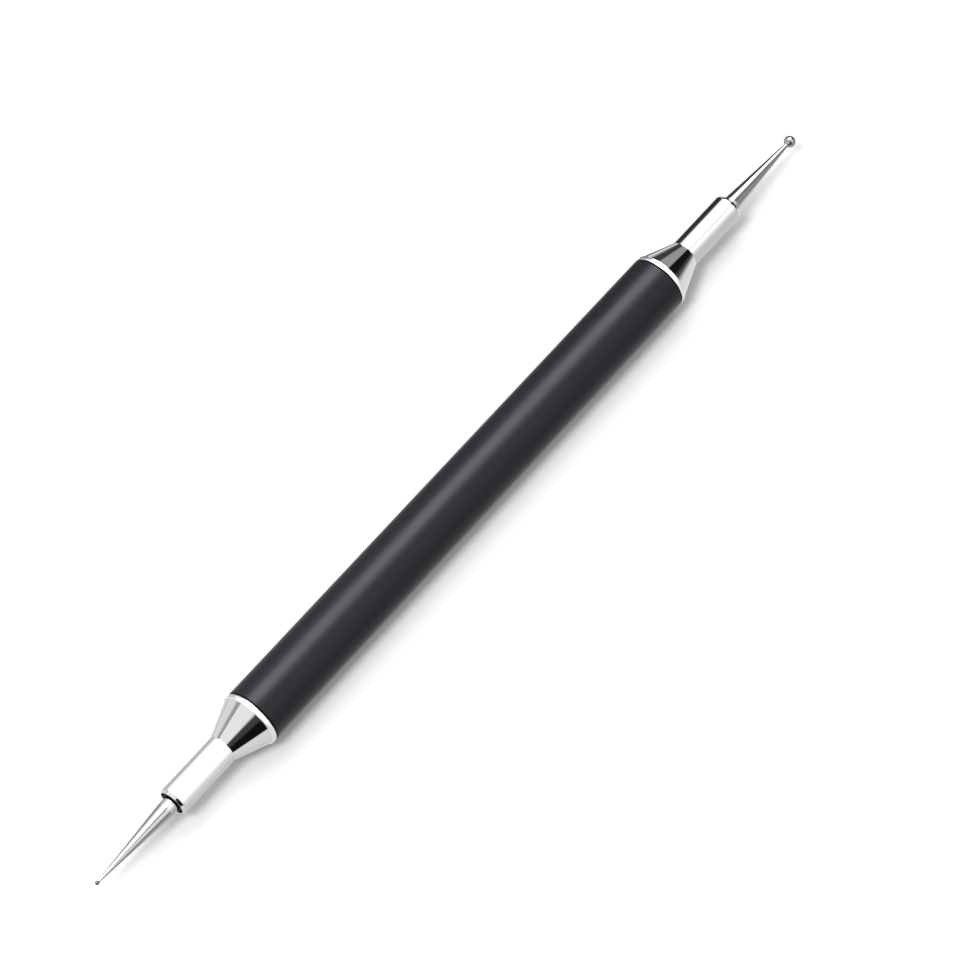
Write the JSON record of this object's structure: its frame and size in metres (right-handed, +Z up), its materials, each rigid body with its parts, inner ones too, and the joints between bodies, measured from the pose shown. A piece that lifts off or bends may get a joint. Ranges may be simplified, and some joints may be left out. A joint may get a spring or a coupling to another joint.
{
  "type": "embossing stylus",
  "caption": "Pen-shaped embossing stylus: black barrel, chromed cone ferrules, and a tapered steel needle with a ball tip at each end, one ball fine and one large.",
  "frame": {"origin": "middle of the tool's axis, halfway along the barrel", "axes": "+X along the tool towards the large ball, +Z up with the tool lying on its barrel"},
  "size_m": [0.1554, 0.009, 0.009],
  "materials": {
    "black_barrel": "satin black coating over aluminium tube",
    "insert_brass": "as turned",
    "ferrule_chrome": "mirror chrome over turned brass",
    "bush_brass": "as turned",
    "needle_steel": "ground and polished steel"
  },
  "bodies": {
    "root": {"barrel": "black_barrel", "fine_insert": "insert_brass", "ball_insert": "insert_brass", "fine_ferrule": "ferrule_chrome", "ball_ferrule": "ferrule_chrome", "fine_bush": "bush_brass", "ball_bush": "bush_brass", "fine_stylus": "needle_steel", "ball_stylus": "needle_steel"}
  },
  "joints": []
}
